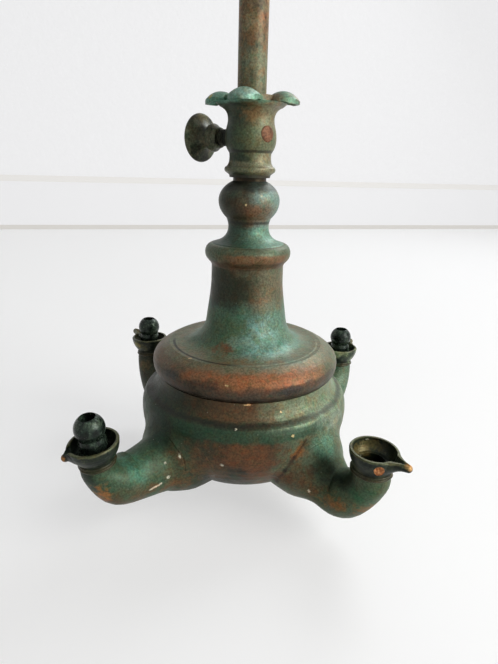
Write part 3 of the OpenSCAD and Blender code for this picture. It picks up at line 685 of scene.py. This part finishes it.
def piece(name, rings, material, body, closed=True):
    """A mesh of closed cross-sections, joined one to the next and, unless closed, capped."""
    bm = bmesh.new()
    rows = [[bm.verts.new(p) for p in ring] for ring in rings]
    count = len(rows[0])
    for i in range(len(rows) if closed else len(rows) - 1):
        row, after = rows[i], rows[(i + 1) % len(rows)]
        for j in range(count):
            k = (j + 1) % count
            bm.faces.new((row[j], row[k], after[k], after[j]))
    if not closed:
        bm.faces.new(rows[0])
        bm.faces.new(rows[-1])
    bmesh.ops.recalc_face_normals(bm, faces=bm.faces[:])
    mesh = bpy.data.meshes.new(name)
    bm.to_mesh(mesh)
    bm.free()
    for p in mesh.polygons:
        p.use_smooth = True
    mesh.materials.append(material)
    o = bpy.data.objects.new(name, mesh)
    bpy.context.collection.objects.link(o)
    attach(o, body)
    return o


def surface(o):
    """A CAD node's surface, for finding its nearest points."""
    bm = bmesh.new()
    bm.from_mesh(o.data)
    tree = BVHTree.FromBMesh(bm)
    bm.free()
    return tree


# The fillets lie round each arm's root, whose axis is level: places out from the rod and off that axis
ROOT_Z = 25.0 * MM
ROOT_OUT = 42.0 * MM
ROOT_R = 12.0 * MM
OUT_ENDS = (34 * MM, 62 * MM)
OFF_ENDS = (10 * MM, 40 * MM)
OPEN_DEG = (24, 125)
FURTHEST = 48.5 * MM
TOUCHING = 0.01 * MM
LONGEST_MOVE = 2 * MM
SMALLEST_BALL = 2 * MM
SUNK = 0.12 * MM
BURIED = 0.4 * MM
STEPS = 120
ARC = 10


def rolled(arm, bowl, way, aim, radius):
    """Where a ball of that radius touches the arm and the bowl, in the plane of way and aim."""
    axis = UP * ROOT_Z
    middle = axis + way * (ROOT_OUT + radius * 0.6) + aim * (ROOT_R + radius)
    for _ in range(60):
        to_arm = arm.find_nearest(middle)[0] - middle
        to_bowl = bowl.find_nearest(middle)[0] - middle
        off_arm, off_bowl = to_arm.length - radius, to_bowl.length - radius
        if max(abs(off_arm), abs(off_bowl)) < TOUCHING:
            found = (((middle - axis).dot(way), OUT_ENDS), ((middle - axis).dot(aim), OFF_ENDS),
                     (math.degrees(to_arm.angle(to_bowl)), OPEN_DEG))
            fits = all(low < value < high for value, (low, high) in found)
            return (middle, to_arm, to_bowl) if fits else None
        a, b = to_arm.normalized(), to_bowl.normalized()
        a1, a2, b1, b2 = a.dot(way), a.dot(aim), b.dot(way), b.dot(aim)
        size = a1 * b2 - a2 * b1
        if abs(size) < 0.1:
            return None
        move = ((off_arm * b2 - off_bowl * a2) * way + (off_bowl * a1 - off_arm * b1) * aim) / size
        middle += move * min(0.7, LONGEST_MOVE / max(move.length, 1e-9))
    return None


def fillet(k, radius_at):
    """The brazed fillet between an arm and the bowl, rolled round the arm's root."""
    arm, bowl = surface(nodes["arm_" + NAMES[k]]), surface(nodes["bowl"])
    way = outward(TURN[k])
    side = Vector((-way.y, way.x, 0))
    runs = [[]]
    for i in range(STEPS):
        turn = 2 * math.pi * (i / STEPS - 0.25)
        aim = math.cos(turn) * side + math.sin(turn) * UP
        radius = radius_at(turn) * MM
        found = rolled(arm, bowl, way, aim, radius)
        while found and (found[0] + found[1]).dot(way) > FURTHEST and radius > SMALLEST_BALL:
            radius *= 0.9
            found = rolled(arm, bowl, way, aim, radius)
        if found is None:
            runs.append([])
            continue
        middle, a, b = found
        corner = middle + (a + b).normalized() * (a.length / math.cos(a.angle(b) / 2) + BURIED)
        ring = [middle + a + a.normalized() * SUNK]
        ring += [middle + a.slerp(b, j / ARC) * a.length for j in range(ARC + 1)]
        ring += [middle + b + b.normalized() * SUNK, corner]
        runs[-1].append(ring)
    if len(runs) > 1 and runs[0] and runs[-1]:
        runs[0] = runs.pop() + runs[0]
    best = max(runs, key=len)
    if len(best) > 8:
        piece("fillet_" + NAMES[k], best, body_bronze, "lamp", len(runs) == 1)


DWINDLES = 0.42
LEAST = 0.08


def fillet_radius(left, right, top):
    """The ball's radius round the root: it dwindles to almost nothing under the arm."""
    def radius(turn):
        across, height = math.cos(turn), math.sin(turn)
        full = (right if across > 0 else left) * across * across + top * height * height
        return full * min(1.0, max(LEAST, (height + DWINDLES) / DWINDLES))
    return radius


for k, radii in enumerate(((16, 16, 8), (4, 12, 7), (15, 15, 8), (15, 15, 8))):
    fillet(k, fillet_radius(*radii))


def solder(k):
    """An uneven ring of braze where a cup's stem meets its arm."""
    up = burner_up(k)
    one = up.orthogonal().normalized()
    two = up.cross(one)
    rings = []
    for i in range(72):
        t = 2 * math.pi * i / 72
        out = math.cos(t) * one + math.sin(t) * two
        lump = noise.noise(Vector((math.cos(t) * 2.2 + 7 * k, math.sin(t) * 2.2, 3)))
        thick = (0.75 + 0.35 * lump) * MM
        middle = (mouth(k, -CUP_H) + out * (STEM_R[k] - 0.15)) * MM
        rings.append([middle + thick * (math.cos(s) * out + 0.8 * math.sin(s) * up)
                      for s in (2 * math.pi * j / 12 for j in range(12))])
    piece("braze_" + NAMES[k], rings, paints["cup_" + NAMES[k]], "lamp")


for k in range(4):
    solder(k)


# The thumb screw points to the left and back; lengths along it are from the rod's axis
SCREW_WAY = Vector((-0.798636, 0.601815, 0.0))
SCREW_SIDE = SCREW_WAY.cross(UP)
SCREW_Z = 139.1


def on_screw(along, turn, radius):
    """A place on the screw: along it, round it and out from its axis."""
    out = math.cos(turn) * SCREW_SIDE + math.sin(turn) * UP
    return (UP * SCREW_Z + SCREW_WAY * along + out * radius) * MM


def boss(profile, sides=64):
    """The tapered boss that joins the knob to its screw; profile holds lengths along it and radii."""
    rings = [[on_screw(along, 2 * math.pi * i / sides, radius) for along, radius in profile]
             for i in range(sides)]
    piece("knob_boss", rings, paints["thumb_screw_knob"], "screw_knob")


boss([(17.4, 2.72), (17.4, 5.0), (16.9, 4.95), (16.2, 4.5), (15.5, 4.0), (14.9, 3.78), (14.5, 3.74),
      (14.4, 3.6), (14.0, 3.56), (13.8, 3.4), (13.75, 3.1), (13.8, 2.72)])

PITCH_MM = 0.8
TURN_STEPS = 36
FLANK = 0.34
CREST = 0.07


def thread(first, last, root, crest):
    """The screw's thread where it shows between the collar and the knob."""
    turns = (last - first) / PITCH_MM
    count = round(turns * TURN_STEPS)
    rings = []
    for i in range(count + 1):
        part = i / count
        turn = 2 * math.pi * turns * part
        here = first + (last - first) * part
        edge = root + (crest - root) * min(1.0, 8 * part, 8 * (1 - part))
        rings.append([on_screw(here + way, turn, radius) for way, radius in (
            (-FLANK, root - 0.1), (-CREST, edge), (CREST, edge), (FLANK, root - 0.1))])
    o = piece("screw_thread", rings, paints["thumb_screw_stem"], "screw_stem", False)
    for p in o.data.polygons:
        p.use_smooth = False


thread(9.9, 16.2, 2.6, 2.92)


# ---- Stage ----

STAGE_ROUGH = 0.4


def plain_stage(name, colour, glow=0.8, gain=1.0, gloss=0.5, bump_mm=0.0, size_mm=8.0):
    """A pale surface that shows its colour to the camera and still takes the part's shadow."""
    p = Paint(name)
    p.shader.inputs["Base Color"].default_value = colour
    p.shader.inputs["Roughness"].default_value = STAGE_ROUGH
    p.shader.inputs["Specular IOR Level"].default_value = gloss
    if bump_mm:
        p.join(p.bump(p.noise(size_mm, 6, 0.6), 0.8, bump_mm), p.shader.inputs["Normal"])
    light = p.tree.nodes.new("ShaderNodeLightPath")
    seen = p.math("MAXIMUM", light.outputs["Is Camera Ray"],
                  p.math("MAXIMUM", light.outputs["Is Glossy Ray"],
                         light.outputs["Is Transmission Ray"]))
    own = p.tree.nodes.new("ShaderNodeEmission")
    own.inputs[0].default_value = colour
    own.inputs[1].default_value = gain
    mixer = p.tree.nodes.new("ShaderNodeMixShader")
    p.join(p.math("MULTIPLY", seen, glow), mixer.inputs[0])
    p.join(p.shader.outputs[0], mixer.inputs[1])
    p.join(own.outputs[0], mixer.inputs[2])
    p.join(mixer.outputs[0], p.tree.nodes["Material Output"].inputs[0])
    return p.material


def slab(name, low, high, material, edge_mm=1.0):
    """A box of the stage with eased edges."""
    mesh = bpy.data.meshes.new(name)
    bm = bmesh.new()
    bmesh.ops.create_cube(bm, size=1.0)
    for v in bm.verts:
        for k in range(3):
            v.co[k] = (low[k] if v.co[k] < 0 else high[k])
    bmesh.ops.bevel(bm, geom=bm.edges[:], offset=edge_mm * MM, segments=3, affect="EDGES")
    bm.to_mesh(mesh)
    bm.free()
    mesh.materials.append(material)
    o = bpy.data.objects.new(name, mesh)
    bpy.context.collection.objects.link(o)
    return o


# The wall stands askew, about 0.9 m behind the lamp
WALL_TURN = math.radians(13.06)
WALL_AT = Vector((0.0, 0.894, 0.0))


def behind(o):
    """Turns a slab that was made along X into the wall's line."""
    o.matrix_world = Matrix.Translation(WALL_AT) @ Matrix.Rotation(WALL_TURN, 4, "Z")


slab("floor", (-3, -2.5, -0.02), (3, 2.0, 0),
     plain_stage("floor white", tone(244, 244, 244), glow=0.58, gain=1.12, gloss=0.3))
behind(slab("wall", (-3, 0.012, 0.0), (3, 0.05, 2.2),
            plain_stage("wall plaster", tone(242, 242, 243), 0.84, 1.03, bump_mm=2.4, size_mm=14)))
behind(slab("skirting", (-3, 0.0, 0.0006), (3, 0.02, 0.095),
            plain_stage("skirting white", tone(239, 239, 240), gain=1.06), 2.5))
behind(slab("skirting_bead", (-3, -0.004, 0.089), (3, 0.008, 0.1),
            plain_stage("bead white", tone(237, 235, 232), gain=1.03), 1.5))
# A grey strip of painted shade in the gap along the foot of the skirting
behind(slab("floor_gap_shade", (-3, -0.006, 0.0), (3, 0.008, 0.008),
            plain_stage("gap shade grey", tone(222, 219, 214)), 1.5))


# ---- Light ----

LAMP_MIDDLE = Vector((0, 0, 0.08))
WHITE_SEEN = 0.9


def area(name, at, size, watts, colour):
    """A soft area light, aimed at the middle of the lamp."""
    data = bpy.data.lights.new(name, "AREA")
    data.shape = "RECTANGLE"
    data.size, data.size_y = size
    data.energy = watts
    data.color = colour
    o = bpy.data.objects.new(name, data)
    o.location = at
    o.rotation_euler = (LAMP_MIDDLE - o.location).to_track_quat("-Z", "Y").to_euler()
    bpy.context.collection.objects.link(o)


def make_room(dim_side, dim, bright, above):
    """A white room that lights the lamp least from one side and a little from above."""
    world = bpy.data.worlds.new("room")
    world.use_nodes = True
    tree = world.node_tree
    sky = tree.nodes["Background"]
    sky.inputs[0].default_value = (1, 1, 1, 1)
    coords = tree.nodes.new("ShaderNodeTexCoord")
    aim = tree.nodes.new("ShaderNodeVectorMath")
    aim.operation = "DOT_PRODUCT"
    aim.inputs[1].default_value = Vector(dim_side).normalized()
    tree.links.new(coords.outputs["Generated"], aim.inputs[0])
    fade = tree.nodes.new("ShaderNodeMapRange")
    fade.interpolation_type = "SMOOTHSTEP"
    for k, v in enumerate((0.0, -0.35, 0.7, bright, dim)):
        fade.inputs[k].default_value = v
    tree.links.new(aim.outputs["Value"], fade.inputs[0])
    split = tree.nodes.new("ShaderNodeSeparateXYZ")
    tree.links.new(coords.outputs["Generated"], split.inputs[0])
    ceiling = tree.nodes.new("ShaderNodeMapRange")
    for k, v in enumerate((0.0, 0.1, 0.9, 0.0, above)):
        ceiling.inputs[k].default_value = v
    tree.links.new(split.outputs[2], ceiling.inputs[0])
    total = tree.nodes.new("ShaderNodeMath")
    tree.links.new(fade.outputs[0], total.inputs[0])
    tree.links.new(ceiling.outputs[0], total.inputs[1])
    path = tree.nodes.new("ShaderNodeLightPath")
    lit = path.outputs["Is Camera Ray"]
    for ray in ("Is Transmission Ray", "Is Glossy Ray"):
        either = tree.nodes.new("ShaderNodeMath")
        either.operation = "MAXIMUM"
        tree.links.new(lit, either.inputs[0])
        tree.links.new(path.outputs[ray], either.inputs[1])
        lit = either.outputs[0]
    pick = tree.nodes.new("ShaderNodeMapRange")
    tree.links.new(lit, pick.inputs[0])
    tree.links.new(total.outputs[0], pick.inputs[3])
    pick.inputs[4].default_value = WHITE_SEEN
    tree.links.new(pick.outputs[0], sky.inputs[1])
    bpy.context.scene.world = world


make_room(dim_side=(-0.5, -0.86, 0.0), dim=0.002, bright=0.041, above=0.0127)
area("window", (0.66, -0.36, 0.42), (0.5, 0.6), 7.0, (1, 0.985, 0.96))
area("second window", (0.5, 0.55, 0.75), (0.5, 0.5), 5.0, (0.96, 0.98, 1))
